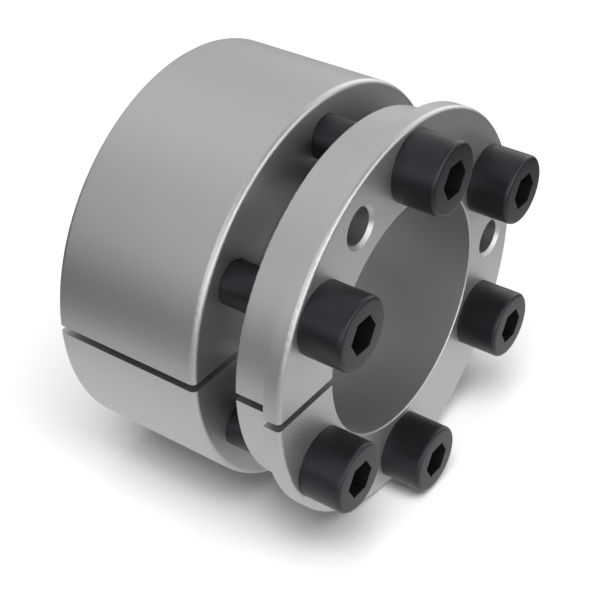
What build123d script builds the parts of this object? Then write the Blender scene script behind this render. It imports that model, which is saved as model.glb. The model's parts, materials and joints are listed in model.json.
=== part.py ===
from build123d import *
import os

# Shaft locking assembly, loosened, standing on the back face of its outer ring.
# Two split steel rings meet on a long shallow cone. Six cap screws pass through the flange of the
# inner ring and are threaded into the outer ring, so that tightening them drives the cones together:
# the bore closes on the shaft and the outer ring opens in the hub.
# Millimetres, +Z along the shaft towards the screw heads, origin on the axis at the base.

# Bore and cone
shaft_d = 45.0
sleeve_tip_wall = 1.0
cone_taper = 0.06               # change of diameter per unit of length
cone_seat_clearance = 0.03      # what is left between the cones when they are drawn home
clamp_travel = 2.0              # how far the flange still has to travel to get there

# Screws: M8 socket-head cap screws
screw_count = 6
thread_d = 8.0
head_d = 12.9
head_height = 8.0
head_round = 0.8
neck_round = 0.4
tip_chamfer = 0.7
socket_flats = 6.0
socket_depth = 4.3
socket_drill_rise = 0.58        # depth of the drill point per unit of its radius
thread_clearance = 0.05         # on the radius, screw in outer ring
flange_hole_clearance = 0.5     # on the radius, screw in flange
tip_cover = 0.2                 # screw tip above the base when drawn home

# Outer ring
ring_length = 30.0
ring_inner_web = 1.43           # steel between the root of the cone and a threaded hole
ring_outer_wall = 3.45          # steel between a threaded hole and the hub seat
ring_front_round = 1.0
ring_back_round = 1.0
ring_bore_chamfer = 0.4
thread_exit_chamfer = 0.5

# Flange of the inner ring: a thin rim in front of a wider, slightly smaller shoulder
flange_gap = 6.4                # between shoulder and outer ring, as delivered
shoulder_thickness = 7.6
rim_thickness = 3.2
rim_step = 2.7
rim_round = 0.8
shoulder_round = 0.25
bore_round = 0.3
sleeve_root_round = 0.5
sleeve_tip_chamfer = 0.3
sleeve_cover = 0.4              # sleeve tip above the base when drawn home

# Jack-off threads, between the screws
jack_count = 3
jack_hole_d = 6.65              # inside the crests of an M8 thread
jack_sink_d = 7.9
jack_sink_angle = 90.0

# Slits that let each ring close or open
inner_slit_width = 1.5
outer_slit_width = 1.5
slit_angle = -90.0

# Heights
shoulder_z = ring_length + flange_gap
rim_z = shoulder_z + shoulder_thickness
face_z = rim_z + rim_thickness
sleeve_tip_z = clamp_travel + sleeve_cover
screw_length = face_z - clamp_travel - tip_cover

# Radii
bore_r = shaft_d / 2
cone_rise = cone_taper / 2
sleeve_tip_r = bore_r + sleeve_tip_wall
sleeve_root_r = sleeve_tip_r + cone_rise * (shoulder_z - sleeve_tip_z)
cone_clearance = cone_seat_clearance + cone_rise * clamp_travel
ring_bore_back_r = sleeve_tip_r - cone_rise * sleeve_tip_z + cone_clearance
ring_bore_front_r = ring_bore_back_r + cone_rise * ring_length
screw_r = thread_d / 2
threaded_hole_r = screw_r + thread_clearance
flange_hole_r = screw_r + flange_hole_clearance
screw_circle_r = sleeve_root_r + ring_inner_web + threaded_hole_r
hub_r = screw_circle_r + threaded_hole_r + ring_outer_wall
rim_r = hub_r
shoulder_r = rim_r - rim_step
socket_drill_depth = socket_drill_rise * socket_flats / 2
slit_reach = 2 * rim_r          # longer than any wall that a slit cuts

os.makedirs("parts", exist_ok=True)


def circle_at(part, radius, height):
    """The round edges of a part that have this radius and lie at this height."""
    hair = 1e-4
    rounds = part.edges().filter_by(GeomType.CIRCLE)
    return rounds.filter_by(lambda e: abs(e.radius - radius) < hair and abs(e.center().Z - height) < hair)


# Outer ring: cylindrical outside, cone inside, widest at the front
with BuildPart() as outer_ring:
    with BuildSketch(Plane.XZ):
        with BuildLine():
            Polyline(
                (ring_bore_back_r, 0),
                (hub_r, 0),
                (hub_r, ring_length),
                (ring_bore_front_r, ring_length),
                close=True,
            )
        make_face()
    revolve(axis=Axis.Z)
    fillet(circle_at(outer_ring, hub_r, ring_length), ring_front_round)
    fillet(circle_at(outer_ring, hub_r, 0), ring_back_round)
    chamfer(circle_at(outer_ring, ring_bore_back_r, 0), ring_bore_chamfer)

    # Threaded holes for the screws, right through, with a small chamfer where the thread ends
    with BuildSketch(Plane.XY):
        with PolarLocations(screw_circle_r, screw_count):
            Circle(threaded_hole_r)
    extrude(amount=ring_length, mode=Mode.SUBTRACT)
    chamfer(circle_at(outer_ring, threaded_hole_r, 0), thread_exit_chamfer)

    # The slit
    with BuildSketch(Plane.XY):
        with PolarLocations(slit_reach / 2, 1, start_angle=slit_angle):
            Rectangle(slit_reach, outer_slit_width)
    extrude(amount=ring_length, mode=Mode.SUBTRACT)

outer_ring.part.label = "outer_ring"
export_step(outer_ring.part, "parts/outer_ring.step")


# Inner ring: stepped flange and cone sleeve, turned from one piece
with BuildPart() as inner_ring:
    with BuildSketch(Plane.XZ):
        with BuildLine():
            Polyline(
                (bore_r, sleeve_tip_z),
                (sleeve_tip_r, sleeve_tip_z),
                (sleeve_root_r, shoulder_z),
                (shoulder_r, shoulder_z),
                (shoulder_r, rim_z),
                (rim_r, rim_z),
                (rim_r, face_z),
                (bore_r, face_z),
                close=True,
            )
        make_face()
    revolve(axis=Axis.Z)
    fillet(circle_at(inner_ring, rim_r, face_z), rim_round)
    fillet(circle_at(inner_ring, shoulder_r, shoulder_z), shoulder_round)
    fillet(circle_at(inner_ring, bore_r, face_z), bore_round)
    fillet(circle_at(inner_ring, sleeve_root_r, shoulder_z), sleeve_root_round)
    chamfer(circle_at(inner_ring, bore_r, sleeve_tip_z), sleeve_tip_chamfer)

    # Plain holes for the screws
    with BuildSketch(Plane.XY.offset(shoulder_z)):
        with PolarLocations(screw_circle_r, screw_count):
            Circle(flange_hole_r)
    extrude(amount=shoulder_thickness + rim_thickness, mode=Mode.SUBTRACT)

    # Countersunk jack-off holes, the first one opposite the slit
    with Locations(Plane.XY.offset(face_z)):
        with PolarLocations(screw_circle_r, jack_count, start_angle=slit_angle + 180):
            CounterSinkHole(
                jack_hole_d / 2,
                jack_sink_d / 2,
                depth=shoulder_thickness + rim_thickness,
                counter_sink_angle=jack_sink_angle,
            )

    # The slit, through flange and sleeve
    with BuildSketch(Plane.XY.offset(sleeve_tip_z)):
        with PolarLocations(slit_reach / 2, 1, start_angle=slit_angle):
            Rectangle(slit_reach, inner_slit_width)
    extrude(amount=face_z - sleeve_tip_z, mode=Mode.SUBTRACT)

inner_ring.part.label = "inner_ring"
export_step(inner_ring.part, "parts/inner_ring.step")


def cap_screw(seat):
    """A socket-head cap screw whose head stands on the plane called seat."""
    with BuildPart() as screw:
        with BuildSketch(seat):
            Circle(head_d / 2)
        extrude(amount=head_height)
        with BuildSketch(seat):
            Circle(screw_r)
        extrude(amount=-screw_length)
        fillet(circle_at(screw, head_d / 2, seat.origin.Z + head_height), head_round)
        fillet(circle_at(screw, screw_r, seat.origin.Z), neck_round)
        chamfer(circle_at(screw, screw_r, seat.origin.Z - screw_length), tip_chamfer)

        # Hexagon socket with the drill point at its bottom, a corner turned to +Y
        socket_floor = seat.offset(head_height - socket_depth)
        with BuildSketch(socket_floor):
            RegularPolygon(socket_flats / 2, 6, major_radius=False, rotation=90)
        extrude(amount=socket_depth, mode=Mode.SUBTRACT)
        with Locations(socket_floor):
            Cone(
                0,
                socket_flats / 2,
                socket_drill_depth,
                align=(Align.CENTER, Align.CENTER, Align.MAX),
                mode=Mode.SUBTRACT,
            )
    return screw


# The screws stand on the flange face, numbered anticlockwise from +X
for number, spot in enumerate(PolarLocations(screw_circle_r, screw_count, rotate=False), start=1):
    seat = Plane(spot).offset(face_z)
    screw = cap_screw(seat)
    screw.part.label = f"screw_{number}"
    export_step(screw.part, f"parts/screw_{number}.step")
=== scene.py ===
import json
import math

import bmesh
import bpy
from mathutils import Matrix, Vector


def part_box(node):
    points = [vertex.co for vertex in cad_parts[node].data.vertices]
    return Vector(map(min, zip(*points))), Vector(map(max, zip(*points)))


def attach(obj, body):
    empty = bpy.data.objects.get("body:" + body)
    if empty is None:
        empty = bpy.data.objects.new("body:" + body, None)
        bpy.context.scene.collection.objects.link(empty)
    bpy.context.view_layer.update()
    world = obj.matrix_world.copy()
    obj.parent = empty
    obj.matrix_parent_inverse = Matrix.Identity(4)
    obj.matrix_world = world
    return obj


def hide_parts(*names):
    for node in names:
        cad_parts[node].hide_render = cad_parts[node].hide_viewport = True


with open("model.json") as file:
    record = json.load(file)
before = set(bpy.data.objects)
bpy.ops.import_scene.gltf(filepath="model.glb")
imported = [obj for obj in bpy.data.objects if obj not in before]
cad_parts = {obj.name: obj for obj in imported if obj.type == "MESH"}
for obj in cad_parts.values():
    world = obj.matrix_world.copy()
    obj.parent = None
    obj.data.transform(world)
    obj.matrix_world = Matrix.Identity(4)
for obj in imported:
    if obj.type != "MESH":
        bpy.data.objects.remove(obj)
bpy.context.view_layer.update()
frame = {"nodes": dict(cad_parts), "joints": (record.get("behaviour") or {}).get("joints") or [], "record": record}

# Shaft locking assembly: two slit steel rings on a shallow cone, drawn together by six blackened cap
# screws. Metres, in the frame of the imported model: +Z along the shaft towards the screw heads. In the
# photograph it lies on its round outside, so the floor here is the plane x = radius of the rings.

MM = 0.001
WHITE = (1.0, 1.0, 1.0, 1.0)
BLACK = (0.0, 0.0, 0.0, 1.0)

record = frame["record"]
joints = {joint["name"]: joint for joint in frame["joints"]}
mounts = {mount["name"]: mount for mount in record["mounts"]}
screw_names = sorted(name for name in frame["nodes"] if name.startswith("screw_"))

# Rings
ring_radius = mounts["hub_seat"]["dims"]["r_mm"] * MM
ring_front_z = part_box("outer_ring")[1].z
threaded_hole_radius = 4.05 * MM
thread_exit_chamfer = 0.5 * MM
thread_entry_depth = 4.0 * MM       # plain mouth of the threaded hole, for the shank and the run-out

# Screws, M8: what the frame gives
first_low, first_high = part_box(screw_names[0])
seat_z = joints[f"{screw_names[0]}_turn"]["pos_m"][2]
head_radius = (first_high.y - first_low.y) / 2
head_height = first_high.z - seat_z
screw_tip_z = first_low.z
pitch = 2 * math.pi / record["behaviour"]["couplings"][0]["ratio"]

# Screws, M8: what the standard gives
head_round = 0.8 * MM
neck_round = 0.4 * MM
socket_flats = 6.0 * MM
socket_depth = 4.3 * MM
socket_drill_rise = 0.58            # depth of the drill point per unit of its radius
shank_radius = 4.0 * MM
tip_radius = 3.2 * MM
thread_length = 28.0 * MM
thread_runout = 2.0 * MM
thread_flank_depth = 0.6766 * MM    # from the crest flat to where the root's round starts
thread_root_depth = 0.767 * MM
thread_clearance = 0.03 * MM        # on the radius, between screw and ring

# Fineness of the meshes
steps_around = 96                   # a multiple of 12, so that the socket's corners fall on steps
round_steps = 8
weld_distance = 0.0005 * MM
smooth_below = math.radians(35)     # edges that bend less than this are shaded smooth

# Tool marks, which both finishes have
mark_spacing = 0.12 * MM
mark_wander = 0.4                   # how far a mark changes on its way around, from 0 for not at all
mark_detail = 3.0
mark_unevenness = 0.6

# Finish of the rings. Tones go from dark to light, and roughness from least to greatest.
ring_tones = ((0.488, 0.488, 0.496, 1.0), (0.502, 0.502, 0.51, 1.0))
ring_tone_marks = (0.3, 0.7)        # the tool marks that have the darkest and the lightest tone
ring_roughness = (0.44, 0.46)
ring_cloud_scale = 60.0             # clouds in the roughness, per metre
ring_cloud_detail = 2.0
ring_mark_strength = 0.1
ring_mark_depth = 0.001 * MM

# Finish of the screws
screw_tones = ((0.0071, 0.007, 0.0085, 1.0), (0.009, 0.0089, 0.011, 1.0))
screw_roughness = (0.38, 0.42)
screw_gloss = 0.4
screw_gloss_tint = (0.96, 0.95, 1.08, 1.0)
screw_mark_strength = 0.3
screw_mark_depth = 0.002 * MM

# Camera, fitted to the photograph
camera_place = Vector((-0.146645, -0.172329, 0.148510))
camera_target = Vector((0.0, -0.007017, 0.029546))
camera_roll = math.radians(0.538)
camera_lens = 84.756
camera_sensor = 36.0
camera_clip = (0.01, 10.0)
up = Vector((-1.0, 0.0, 0.0))       # away from the floor

# Floor: a sheet that the camera sees evenly lit, while the metal mirrors a pool of light on it that is painted
# into the sheet's colour and glow
floor_size = 3.0
floor_gap = 0.02 * MM
floor_white = 0.34                  # colour of the sheet, white in the light of the room and the lamps
pool_middle_z = 27.0 * MM           # middle of the painted pool of light, under the middle of the whole part's length
pool_fade = (0.08, 0.17)            # distances from there at which it starts to fade and has faded
painted_pool_colour = 0.42                  # painted pool of light: colour of the sheet in the pool, for all but the camera, as a share of floor_white
painted_pool_glow = 0.44                    # painted light: the sheet glows in the pool besides, for all but the camera, which keeps the shaded side open
pool_rest = 0.05                    # share of both that is left past the pool

# Room: white all round, with soft panels that are brighter and soft cards that are darker than it, as
# elevation above the floor, azimuth from the shaft's +Z towards +Y, both in degrees, sharpness, and the
# light that each adds to the white or takes from it
room_white = 1.0
panels = {
    "low_right_panel": (5, 0, 60, 4.6),
    "low_right_front_panel": (5, 330, 60, 5.0),
    "raised_right_panel": (20, 0, 60, 3.5),
    "raised_right_behind_panel": (20, 30, 60, 2.3),
    "raised_front_panel": (20, 255, 50, 1.5),
    "low_behind_wide_panel": (2, 90, 14, 1.5),
    "low_front_right_wide_panel": (2, 300, 14, 1.7),
    "raised_behind_wide_panel": (30, 90, 14, 1.2),
    "low_behind_right_card": (2, 60, 14, -0.66),
    "low_behind_left_card": (2, 120, 14, -0.43),
    "low_left_front_card": (2, 210, 14, -0.65),
    "low_front_left_card": (2, 240, 14, -0.67),
    "raised_behind_left_card": (30, 120, 14, -0.46),
    "raised_left_front_card": (30, 210, 14, -0.52),
    "raised_right_front_card": (30, 330, 14, -0.52),
    "high_right_card": (60, 0, 14, -0.62),
    "high_behind_right_card": (60, 60, 14, -0.62),
}

# Lamps that throw the shadow on the floor, as elevation, azimuth and breadth in degrees, and power
shadow_lamps = {
    "shadow_lamp_front": (60, -67, 24, 3.65),
    "shadow_lamp_right": (60, -22, 24, 3.21),
    "shadow_lamp_high": (75, -67, 24, 1.49),
}


class Tree:
    """A node tree in the making. An input is a number, a colour, a vector or another node's socket."""

    def __init__(self, tree):
        self.tree = tree

    def feed(self, socket, value):
        if isinstance(value, bpy.types.NodeSocket):
            self.tree.links.new(value, socket)
        else:
            socket.default_value = value

    def add(self, kind, inputs=None, **settings):
        node = self.tree.nodes.new(kind)
        for name, value in settings.items():
            setattr(node, name, value)
        for key, value in (inputs or {}).items():
            self.feed(node.inputs[key], value)
        return node

    def math(self, operation, *values):
        node = self.add("ShaderNodeMath", operation=operation)
        for socket, value in zip(node.inputs, values):
            self.feed(socket, value)
        return node.outputs[0]

    def length(self, along, across):
        """The length of the way that goes so far along and so far across."""
        square = self.math("MULTIPLY_ADD", across, across, self.math("MULTIPLY", along, along))
        return self.math("SQRT", square)

    def blend(self, factor, colours):
        """A colour between two, by a factor from 0 to 1."""
        inputs = {"Factor": factor, "A": colours[0], "B": colours[1]}
        return self.add("ShaderNodeMix", inputs, data_type="RGBA").outputs["Result"]

    def pick(self, index, values):
        """The value that stands at this place of a list."""
        node = self.add("GeometryNodeIndexSwitch", data_type="FLOAT")
        for _ in values[len(node.index_switch_items):]:
            node.index_switch_items.new()
        self.feed(node.inputs["Index"], index)
        for place, value in enumerate(values):
            node.inputs[str(place)].default_value = value
        return node.outputs[0]


def new_group(name, kind, inputs, outputs):
    """A node group with named inputs, each a socket type and a default, and named outputs."""
    group = bpy.data.node_groups.new(name, kind)
    for label, (socket_type, default) in inputs.items():
        socket = group.interface.new_socket(label, in_out="INPUT", socket_type=socket_type)
        if default is not None:
            socket.default_value = default
    for label, socket_type in outputs.items():
        group.interface.new_socket(label, in_out="OUTPUT", socket_type=socket_type)
    tree = Tree(group)
    given = tree.add("NodeGroupInput").outputs
    made = tree.add("NodeGroupOutput").inputs
    return group, tree, given, made


def grid_around(tree, rows, steps):
    """A strip of rows x steps points, with each point's row and its angle about the axis."""
    columns = tree.math("ADD", steps, 1)
    grid = tree.add("GeometryNodeMeshGrid", {"Vertices X": columns, "Vertices Y": rows})
    index = tree.add("GeometryNodeInputIndex").outputs[0]
    row = tree.math("FLOORED_MODULO", index, rows)
    turned = tree.math("DIVIDE", tree.math("FLOOR", tree.math("DIVIDE", index, rows)), steps)
    return grid.outputs["Mesh"], row, turned


def place_around(tree, mesh, radius, turned, height, axis):
    """Puts the points of a strip at a radius, a share of a turn and a height about an axis."""
    angle = tree.math("MULTIPLY", turned, 2 * math.pi)
    x = tree.math("MULTIPLY", radius, tree.math("COSINE", angle))
    y = tree.math("MULTIPLY", radius, tree.math("SINE", angle))
    at = tree.add("ShaderNodeCombineXYZ", {"X": x, "Y": y, "Z": height}).outputs[0]
    stored = tree.add(
        "GeometryNodeStoreNamedAttribute",
        {"Geometry": mesh, "Name": "from_axis", "Value": at},
        data_type="FLOAT_VECTOR",
        domain="POINT",
    ).outputs["Geometry"]
    moved = tree.add("ShaderNodeVectorMath", {0: at, 1: axis}, operation="ADD").outputs[0]
    return tree.add("GeometryNodeSetPosition", {"Geometry": stored, "Position": moved}).outputs[0]


def turned_group():
    """Turns a profile about an axis. A profile point is (radius, share of hexagon, height)."""
    group, tree, given, made = new_group(
        "turned_profile",
        "GeometryNodeTree",
        {
            "Profile": ("NodeSocketGeometry", None),
            "Axis": ("NodeSocketVector", (0.0, 0.0, 0.0)),
            "Steps": ("NodeSocketInt", steps_around),
        },
        {"Geometry": "NodeSocketGeometry"},
    )
    size = tree.add("GeometryNodeAttributeDomainSize", {"Geometry": given["Profile"]})
    mesh, row, turned = grid_around(tree, size.outputs["Point Count"], given["Steps"])
    sample = tree.add(
        "GeometryNodeSampleIndex",
        {
            "Geometry": given["Profile"],
            "Value": tree.add("GeometryNodeInputPosition").outputs[0],
            "Index": row,
        },
        data_type="FLOAT_VECTOR",
        domain="POINT",
    )
    point = tree.add("ShaderNodeSeparateXYZ", {0: sample.outputs[0]}).outputs
    sixth = tree.math("WRAP", turned, 1 / 12, -1 / 12)
    corner = tree.math("DIVIDE", 1.0, tree.math("COSINE", tree.math("MULTIPLY", sixth, 2 * math.pi)))
    stretch = tree.math("MULTIPLY_ADD", tree.math("SUBTRACT", corner, 1.0), point["Y"], 1.0)
    radius = tree.math("MULTIPLY", point["X"], stretch)
    placed = place_around(tree, mesh, radius, turned, point["Z"], given["Axis"])
    tree.feed(made["Geometry"], placed)
    return group


def thread_group():
    """A right-hand thread between two heights, in step with any other that has the same pitch."""
    # A turn has five rows of points, at these shares of the pitch: two at the ends of the crest, two at
    # the feet of the flanks, and between those one at the bottom of the root.
    shares = (0.0, 1 / 8, 7 / 16, 9 / 16, 11 / 16)
    at_flank_foot = (0.0, 0.0, 1.0, 0.0, 1.0)
    at_root_bottom = (0.0, 0.0, 0.0, 1.0, 0.0)
    rows_per_turn = float(len(shares))
    group, tree, given, made = new_group(
        "thread",
        "GeometryNodeTree",
        {
            "Axis": ("NodeSocketVector", (0.0, 0.0, 0.0)),
            "Steps": ("NodeSocketInt", steps_around),
            "Pitch": ("NodeSocketFloat", pitch),
            "Crest Radius": ("NodeSocketFloat", shank_radius),
            "Flank Depth": ("NodeSocketFloat", thread_flank_depth),
            "Root Depth": ("NodeSocketFloat", thread_root_depth),
            "Low End": ("NodeSocketFloat", 0.0),
            "Low End Radius": ("NodeSocketFloat", tip_radius),
            "High End": ("NodeSocketFloat", thread_length),
            "High End Radius": ("NodeSocketFloat", shank_radius),
            "High End Slope": ("NodeSocketFloat", 1.0),
            "In a Hole": ("NodeSocketBool", False),
        },
        {"Geometry": "NodeSocketGeometry"},
    )
    low, high = given["Low End"], given["High End"]
    whole_turns = tree.math("FLOOR", tree.math("DIVIDE", low, given["Pitch"]))
    turns_below = tree.math("SUBTRACT", whole_turns, 1.0)
    span = tree.math("DIVIDE", tree.math("SUBTRACT", high, low), given["Pitch"])
    rows = tree.math("MULTIPLY", tree.math("ADD", tree.math("CEIL", span), 3.0), rows_per_turn)
    mesh, row, turned = grid_around(tree, rows, given["Steps"])
    part = tree.math("FLOORED_MODULO", row, rows_per_turn)
    turn = tree.math("FLOOR", tree.math("DIVIDE", row, rows_per_turn))
    share = tree.pick(part, shares)
    flank = tree.math("MULTIPLY", given["Flank Depth"], tree.pick(part, at_flank_foot))
    root = tree.math("MULTIPLY", given["Root Depth"], tree.pick(part, at_root_bottom))
    turns = tree.math("ADD", tree.math("ADD", turns_below, turn), tree.math("ADD", share, turned))
    height = tree.math("MULTIPLY", turns, given["Pitch"])
    height = tree.math("MINIMUM", tree.math("MAXIMUM", height, low), high)
    radius = tree.math("SUBTRACT", given["Crest Radius"], tree.math("ADD", flank, root))
    below_high = tree.math("MULTIPLY", tree.math("SUBTRACT", high, height), given["High End Slope"])
    radius = tree.math("MAXIMUM", radius, tree.math("SUBTRACT", given["High End Radius"], below_high))
    above_low = tree.math("SUBTRACT", height, low)
    tip = tree.math("MINIMUM", radius, tree.math("ADD", given["Low End Radius"], above_low))
    mouth = tree.math("MAXIMUM", radius, tree.math("SUBTRACT", given["Low End Radius"], above_low))
    radius = tree.add(
        "GeometryNodeSwitch",
        {"Switch": given["In a Hole"], "False": tip, "True": mouth},
        input_type="FLOAT",
    ).outputs[0]
    placed = place_around(tree, mesh, radius, turned, height, given["Axis"])
    tree.feed(made["Geometry"], placed)
    return group


def finished(tree, parts, material):
    """Joins parts, welds their seams, shades the gentle edges smooth and gives them a material."""
    join = tree.add("GeometryNodeJoinGeometry")
    for part in parts:
        tree.feed(join.inputs[0], part)
    joined = join.outputs[0]
    weld = tree.add("GeometryNodeMergeByDistance", {"Geometry": joined, "Distance": weld_distance})
    angle = tree.add("GeometryNodeInputMeshEdgeAngle").outputs["Unsigned Angle"]
    soft = tree.math("LESS_THAN", angle, smooth_below)
    smooth = tree.add("GeometryNodeSetShadeSmooth", {"Geometry": weld.outputs[0], "Shade Smooth": True})
    edges = tree.add(
        "GeometryNodeSetShadeSmooth",
        {"Geometry": smooth.outputs[0], "Shade Smooth": soft},
        domain="EDGE",
    )
    real = tree.add("GeometryNodeRealizeInstances", {"Geometry": edges.outputs[0]})
    painted = tree.add("GeometryNodeSetMaterial", {"Geometry": real.outputs[0], "Material": material})
    return painted.outputs[0]


def screw_tree(turned_profile, thread):
    """A cap screw: its head and shank turned from the profile, its thread and its tip."""
    group, tree, given, made = new_group(
        "cap_screw",
        "GeometryNodeTree",
        {
            "Profile": ("NodeSocketGeometry", None),
            "Axis": ("NodeSocketVector", (0.0, 0.0, 0.0)),
            "Steps": ("NodeSocketInt", steps_around),
            "Pitch": ("NodeSocketFloat", pitch),
            "Shank Radius": ("NodeSocketFloat", shank_radius),
            "Tip Radius": ("NodeSocketFloat", tip_radius),
            "Tip Height": ("NodeSocketFloat", screw_tip_z),
            "Thread Length": ("NodeSocketFloat", thread_length),
            "Run-out": ("NodeSocketFloat", thread_runout),
            "Material": ("NodeSocketMaterial", None),
        },
        {"Geometry": "NodeSocketGeometry"},
    )
    head = tree.add("GeometryNodeGroup", node_tree=turned_profile)
    for label in ("Profile", "Axis", "Steps"):
        tree.feed(head.inputs[label], given[label])
    top = tree.math("ADD", given["Tip Height"], given["Thread Length"])
    turns = tree.add("GeometryNodeGroup", node_tree=thread)
    for label in ("Axis", "Steps", "Pitch"):
        tree.feed(turns.inputs[label], given[label])
    tree.feed(turns.inputs["Crest Radius"], given["Shank Radius"])
    tree.feed(turns.inputs["High End Radius"], given["Shank Radius"])
    tree.feed(turns.inputs["High End Slope"], tree.math("DIVIDE", thread_root_depth, given["Run-out"]))
    tree.feed(turns.inputs["Low End Radius"], given["Tip Radius"])
    tree.feed(turns.inputs["Low End"], given["Tip Height"])
    tree.feed(turns.inputs["High End"], top)
    disc = tree.add(
        "GeometryNodeMeshCircle",
        {"Vertices": given["Steps"], "Radius": given["Tip Radius"]},
        fill_type="NGON",
    )
    at = tree.add("ShaderNodeCombineXYZ", {"Z": given["Tip Height"]}).outputs[0]
    spot = tree.add("ShaderNodeVectorMath", {0: at, 1: given["Axis"]}, operation="ADD").outputs[0]
    end = tree.add("GeometryNodeTransform", {"Geometry": disc.outputs["Mesh"], "Translation": spot})
    parts = (head.outputs[0], turns.outputs[0], end.outputs[0])
    tree.feed(made["Geometry"], finished(tree, parts, given["Material"]))
    return group


def ring_thread_tree(turned_profile, thread):
    """The thread that is cut in one hole of the outer ring, down to the hole's wall."""
    group, tree, given, made = new_group(
        "ring_thread",
        "GeometryNodeTree",
        {
            "Profile": ("NodeSocketGeometry", None),
            "Axis": ("NodeSocketVector", (0.0, 0.0, 0.0)),
            "Steps": ("NodeSocketInt", steps_around),
            "Pitch": ("NodeSocketFloat", pitch),
            "Screw Radius": ("NodeSocketFloat", shank_radius),
            "Clearance": ("NodeSocketFloat", thread_clearance),
            "Wall Radius": ("NodeSocketFloat", threaded_hole_radius),
            "Low End": ("NodeSocketFloat", 0.0),
            "High End": ("NodeSocketFloat", ring_front_z),
            "Material": ("NodeSocketMaterial", None),
        },
        {"Geometry": "NodeSocketGeometry"},
    )
    wall = tree.add("GeometryNodeGroup", node_tree=turned_profile)
    turns = tree.add("GeometryNodeGroup", node_tree=thread)
    for label in ("Profile", "Axis", "Steps"):
        tree.feed(wall.inputs[label], given[label])
    for label in ("Axis", "Steps", "Pitch", "Low End", "High End"):
        tree.feed(turns.inputs[label], given[label])
    tree.feed(turns.inputs["Crest Radius"], tree.math("ADD", given["Screw Radius"], given["Clearance"]))
    tree.feed(turns.inputs["Root Depth"], thread_flank_depth)
    tree.feed(turns.inputs["Low End Radius"], given["Wall Radius"])
    tree.feed(turns.inputs["High End Radius"], given["Wall Radius"])
    turns.inputs["In a Hole"].default_value = True
    parts = (wall.outputs[0], turns.outputs[0])
    tree.feed(made["Geometry"], finished(tree, parts, given["Material"]))
    return group


def quarter_round(centre, radius, start, turn):
    """Points of a quarter circle in a profile, from an angle in degrees, turning by 90 or -90."""
    angles = [math.radians(start + turn * step / round_steps) for step in range(round_steps + 1)]
    return [(centre[0] + radius * math.cos(a), centre[1] + radius * math.sin(a)) for a in angles]


def screw_profile():
    """From the socket over the head and down the shank, as (radius, share of hexagon, height)."""
    apothem = socket_flats / 2
    top = seat_z + head_height
    floor = top - socket_depth
    shank_end = screw_tip_z + thread_length
    socket = [
        (0.0, 0.0, floor - socket_drill_rise * apothem),
        (apothem, 0.0, floor),
        (apothem, 1.0, floor),
        (apothem, 1.0, top),
    ]
    edge = quarter_round((head_radius - head_round, top - head_round), head_round, 90, -90)
    neck = quarter_round((shank_radius + neck_round, seat_z - neck_round), neck_round, 90, 90)
    outside = edge + [(head_radius, seat_z)] + neck + [(shank_radius, shank_end)]
    return socket + [(radius, 0.0, height) for radius, height in outside]


def hole_wall_profile(low, high):
    """The plain outside of a threaded hole's lining."""
    return [(threaded_hole_radius, 0.0, low), (threaded_hole_radius, 0.0, high)]


def face_outwards(mesh):
    """Turns every face of a closed mesh to the outside."""
    shape = bmesh.new()
    shape.from_mesh(mesh)
    bmesh.ops.recalc_face_normals(shape, faces=shape.faces)
    shape.to_mesh(mesh)
    shape.free()


def grown(name, profile, tree, values):
    """Runs a Geometry Nodes tree on a profile with these inputs. The result is kept as a plain mesh."""
    mesh = bpy.data.meshes.new(name)
    mesh.from_pydata(profile, [], [])
    piece = bpy.data.objects.new(name, mesh)
    bpy.context.scene.collection.objects.link(piece)
    modifier = piece.modifiers.new("shape", "NODES")
    modifier.node_group = tree
    for socket in tree.interface.items_tree:
        if socket.in_out == "INPUT" and socket.name in values:
            modifier[socket.identifier] = values[socket.name]
    depsgraph = bpy.context.evaluated_depsgraph_get()
    result = bpy.data.meshes.new_from_object(piece.evaluated_get(depsgraph))
    piece.modifiers.remove(modifier)
    piece.data = result
    result.name = name
    face_outwards(result)
    return piece


def new_material(name):
    """A new material, its node tree and the Principled shader in it."""
    material = bpy.data.materials.new(name)
    material.use_nodes = True
    tree = Tree(material.node_tree)
    return material, tree, material.node_tree.nodes["Principled BSDF"]


def turning_marks_group():
    """Fine tool marks around the axis, as on a turned and ground surface: light and dark 0 to 1."""
    group, tree, given, made = new_group(
        "turning_marks",
        "ShaderNodeTree",
        {
            "Place": ("NodeSocketVector", (0.0, 0.0, 0.0)),
            "Spacing": ("NodeSocketFloat", mark_spacing),
            "Wander": ("NodeSocketFloat", mark_wander),
        },
        {"Marks": "NodeSocketFloat"},
    )
    at = tree.add("ShaderNodeSeparateXYZ", {0: given["Place"]}).outputs
    radius = tree.math("DIVIDE", tree.length(at["X"], at["Y"]), given["Spacing"])
    height = tree.math("DIVIDE", at["Z"], given["Spacing"])
    around = tree.math("MULTIPLY", tree.math("ARCTAN2", at["Y"], at["X"]), given["Wander"])
    where = tree.add("ShaderNodeCombineXYZ", {"X": radius, "Y": height, "Z": around}).outputs[0]
    noise = tree.add(
        "ShaderNodeTexNoise",
        {"Vector": where, "Scale": 1.0, "Detail": mark_detail, "Roughness": mark_unevenness},
    )
    tree.feed(made["Marks"], noise.outputs["Fac"])
    return group


def place_marks(tree, marks, place):
    """Lays the tool marks in a material, by the place on the piece."""
    fine = tree.add("ShaderNodeGroup", node_tree=marks)
    tree.feed(fine.inputs["Place"], place)
    return fine.outputs["Marks"]


def roughen(tree, shader, mask, roughness):
    """Makes a surface as rough as a mask from 0 to 1 says, between the least and the greatest."""
    limits = {"To Min": roughness[0], "To Max": roughness[1]}
    rough = tree.add("ShaderNodeMapRange", {"Value": mask, **limits})
    tree.feed(shader.inputs["Roughness"], rough.outputs[0])


def emboss(tree, shader, marks, strength, depth):
    """Lets the tool marks stand out of a surface."""
    bump = tree.add("ShaderNodeBump", {"Strength": strength, "Distance": depth, "Height": marks})
    tree.feed(shader.inputs["Normal"], bump.outputs[0])


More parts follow.
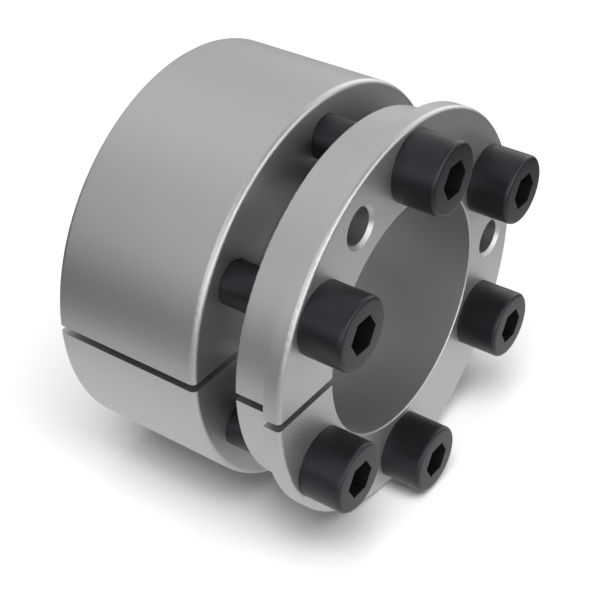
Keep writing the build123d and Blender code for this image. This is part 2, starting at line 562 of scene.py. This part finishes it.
def ring_steel(marks):
    """Turned steel with a fine satin finish."""
    material, tree, shader = new_material("satin_steel")
    place = tree.add("ShaderNodeTexCoord").outputs["Object"]
    fine = place_marks(tree, marks, place)
    limits = {"From Min": ring_tone_marks[0], "From Max": ring_tone_marks[1]}
    tone = tree.add("ShaderNodeMapRange", {"Value": fine, **limits}).outputs[0]
    tree.feed(shader.inputs["Base Color"], tree.blend(tone, ring_tones))
    cloud = tree.add(
        "ShaderNodeTexNoise",
        {"Vector": place, "Scale": ring_cloud_scale, "Detail": ring_cloud_detail},
    )
    roughen(tree, shader, cloud.outputs["Fac"], ring_roughness)
    emboss(tree, shader, fine, ring_mark_strength, ring_mark_depth)
    shader.inputs["Metallic"].default_value = 1.0
    return material


def screw_steel(marks):
    """Steel with a black oxide finish, satin."""
    material, tree, shader = new_material("black_oxide")
    place = tree.add("ShaderNodeAttribute", attribute_name="from_axis").outputs["Vector"]
    fine = place_marks(tree, marks, place)
    tree.feed(shader.inputs["Base Color"], tree.blend(fine, screw_tones))
    roughen(tree, shader, fine, screw_roughness)
    emboss(tree, shader, fine, screw_mark_strength, screw_mark_depth)
    shader.inputs["Specular IOR Level"].default_value = screw_gloss
    shader.inputs["Specular Tint"].default_value = screw_gloss_tint
    return material


def seen_direct(tree):
    """1 for what the camera sees, straight or through glass, and 0 for all other light."""
    ray = tree.add("ShaderNodeLightPath").outputs
    return tree.math("MAXIMUM", ray["Is Camera Ray"], ray["Is Transmission Ray"])


def floor_paper():
    """White paper, evenly lit for the camera, and for the metal with a painted pool of light round the rings, in
    its colour and glow.
    """
    material, tree, shader = new_material("floor_paper")
    shader.inputs["Roughness"].default_value = 1.0
    shader.inputs["Specular IOR Level"].default_value = 0.0
    at = tree.add("ShaderNodeSeparateXYZ", {0: tree.add("ShaderNodeTexCoord").outputs["Object"]}).outputs
    distance = tree.length(tree.math("SUBTRACT", at["Z"], pool_middle_z), at["Y"])
    limits = {"From Min": pool_fade[0], "From Max": pool_fade[1], "To Min": 1.0, "To Max": pool_rest}
    # painted pool of light: for all but the camera the paper's colour fades with the distance from under the rings
    painted_pool = tree.add("ShaderNodeMapRange", {"Value": distance, **limits}).outputs[0]
    direct = seen_direct(tree)
    lit = tree.math("MAXIMUM", tree.math("MULTIPLY", painted_pool, painted_pool_colour), direct)
    paper_white = (floor_white, floor_white, floor_white, 1.0)
    tree.feed(shader.inputs["Base Color"], tree.blend(lit, (BLACK, paper_white)))
    # painted light: for all but the camera the paper glows in the pool, though it is no lamp
    painted_glow = tree.math("MULTIPLY", tree.math("SUBTRACT", 1.0, direct), painted_pool_glow)
    shader.inputs["Emission Color"].default_value = WHITE
    tree.feed(shader.inputs["Emission Strength"], tree.math("MULTIPLY", painted_glow, painted_pool))
    clear = tree.add("ShaderNodeBsdfTransparent").outputs[0]
    back = tree.add("ShaderNodeNewGeometry").outputs["Backfacing"]
    paper = tree.add("ShaderNodeMixShader", {0: back, 1: shader.outputs[0], 2: clear})
    tree.feed(material.node_tree.nodes["Material Output"].inputs["Surface"], paper.outputs[0])
    return material


def make_floor(material):
    """The sheet that the rings lie on: the plane x = ring_radius, seen from the side of the object."""
    half = floor_size / 2
    x = ring_radius + floor_gap
    corners = [(x, -half, -half), (x, -half, half), (x, half, half), (x, half, -half)]
    mesh = bpy.data.meshes.new("floor")
    mesh.from_pydata(corners, [], [(0, 1, 2, 3)])
    mesh.materials.append(material)
    floor = bpy.data.objects.new("floor", mesh)
    bpy.context.scene.collection.objects.link(floor)
    return floor


def make_camera():
    """The photograph's camera: above the floor, looking down on the object, the shaft pointing right."""
    forward = (camera_target - camera_place).normalized()
    level = forward.cross(up).normalized()
    right = Matrix.Rotation(camera_roll, 3, forward) @ level
    over = right.cross(forward)
    data = bpy.data.cameras.new("camera")
    data.sensor_width = camera_sensor
    data.lens = camera_lens
    data.clip_start, data.clip_end = camera_clip
    camera = bpy.data.objects.new("camera", data)
    turn = Matrix((right, over, -forward)).transposed().to_4x4()
    camera.matrix_world = Matrix.Translation(camera_place) @ turn
    bpy.context.scene.collection.objects.link(camera)
    bpy.context.scene.camera = camera


def direction(elevation, azimuth):
    """The unit vector that points so many degrees above the floor and so many from +Z towards +Y."""
    high, round_by = math.radians(elevation), math.radians(azimuth)
    level = math.cos(high)
    return Vector((-math.sin(high), level * math.sin(round_by), level * math.cos(round_by)))


def make_shadow_lamps(floor):
    """Broad distant lamps that light only the floor, on which the object throws its shadow."""
    floor_only = bpy.data.collections.new("floor_only")
    floor_only.objects.link(floor)
    for name, (elevation, azimuth, breadth, power) in shadow_lamps.items():
        data = bpy.data.lights.new(name, "SUN")
        data.angle = math.radians(breadth)
        data.energy = power
        lamp = bpy.data.objects.new(name, data)
        lamp.matrix_world = direction(elevation, azimuth).to_track_quat("Z", "Y").to_matrix().to_4x4()
        bpy.context.scene.collection.objects.link(lamp)
        lamp.light_linking.receiver_collection = floor_only


def soft_panel_group():
    """A soft patch in one direction of the room: the light that it adds, or takes if it is below 0."""
    group, tree, given, made = new_group(
        "soft_panel",
        "ShaderNodeTree",
        {
            "Looking": ("NodeSocketVector", (0.0, 0.0, 1.0)),
            "Panel": ("NodeSocketVector", (0.0, 0.0, 1.0)),
            "Sharpness": ("NodeSocketFloat", 1.0),
            "Brightness": ("NodeSocketFloat", 1.0),
        },
        {"Light": "NodeSocketFloat"},
    )
    close = tree.add(
        "ShaderNodeVectorMath",
        {0: given["Looking"], 1: given["Panel"]},
        operation="DOT_PRODUCT",
    )
    apart = tree.math("SUBTRACT", close.outputs["Value"], 1.0)
    fade = tree.math("EXPONENT", tree.math("MULTIPLY", apart, given["Sharpness"]))
    tree.feed(made["Light"], tree.math("MULTIPLY", fade, given["Brightness"]))
    return group


def make_world(soft_panel):
    """The room: white for every ray, and for all but the camera with the panels and cards in it."""
    world = bpy.data.worlds.new("studio")
    world.use_nodes = True
    tree = Tree(world.node_tree)
    nodes = world.node_tree.nodes
    looking = tree.add("ShaderNodeTexCoord").outputs["Generated"]
    light = room_white
    for elevation, azimuth, sharpness, brightness in panels.values():
        panel = tree.add("ShaderNodeGroup", node_tree=soft_panel)
        tree.feed(panel.inputs["Looking"], looking)
        panel.inputs["Panel"].default_value = direction(elevation, azimuth)
        panel.inputs["Sharpness"].default_value = sharpness
        panel.inputs["Brightness"].default_value = brightness
        light = tree.math("ADD", light, panel.outputs["Light"])
    room = nodes["Background"]
    room.inputs["Color"].default_value = WHITE
    tree.feed(room.inputs["Strength"], tree.math("MAXIMUM", light, 0.0))
    white = tree.add("ShaderNodeBackground", {"Color": WHITE, "Strength": room_white}).outputs[0]
    mix = tree.add("ShaderNodeMixShader", {0: seen_direct(tree), 1: room.outputs[0], 2: white})
    tree.feed(nodes["World Output"].inputs["Surface"], mix.outputs[0])
    bpy.context.scene.world = world


def dress_rings(steel):
    """Gives both rings their steel."""
    for name in ("outer_ring", "inner_ring"):
        node = frame["nodes"][name]
        node.data.materials.clear()
        node.data.materials.append(steel)


def fit_screw(name, axis, cap_screw, black):
    """Puts a finished screw in the place of the plain one."""
    screw = grown(f"{name}_finished", screw_profile(), cap_screw, {"Axis": axis, "Material": black})
    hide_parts(name)
    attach(screw, name)


def cut_ring_thread(name, axis, ring_thread, steel):
    """Lines a hole of the outer ring with its thread."""
    low_end = thread_exit_chamfer
    high_end = ring_front_z - thread_entry_depth
    values = {"Axis": axis, "Low End": low_end, "High End": high_end, "Material": steel}
    lining = grown(name, hole_wall_profile(low_end, high_end), ring_thread, values)
    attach(lining, "outer_ring")


marks = turning_marks_group()
steel = ring_steel(marks)
black = screw_steel(marks)
dress_rings(steel)

turned_profile = turned_group()
thread = thread_group()
cap_screw = screw_tree(turned_profile, thread)
ring_thread = ring_thread_tree(turned_profile, thread)
for name in screw_names:
    x, y, _ = joints[f"{name}_turn"]["pos_m"]
    fit_screw(name, (x, y, 0.0), cap_screw, black)
    cut_ring_thread(name.replace("screw", "ring_thread"), (x, y, 0.0), ring_thread, steel)

floor = make_floor(floor_paper())
make_camera()
make_world(soft_panel_group())
make_shadow_lamps(floor)

bpy.context.scene.view_settings.view_transform = "Standard"
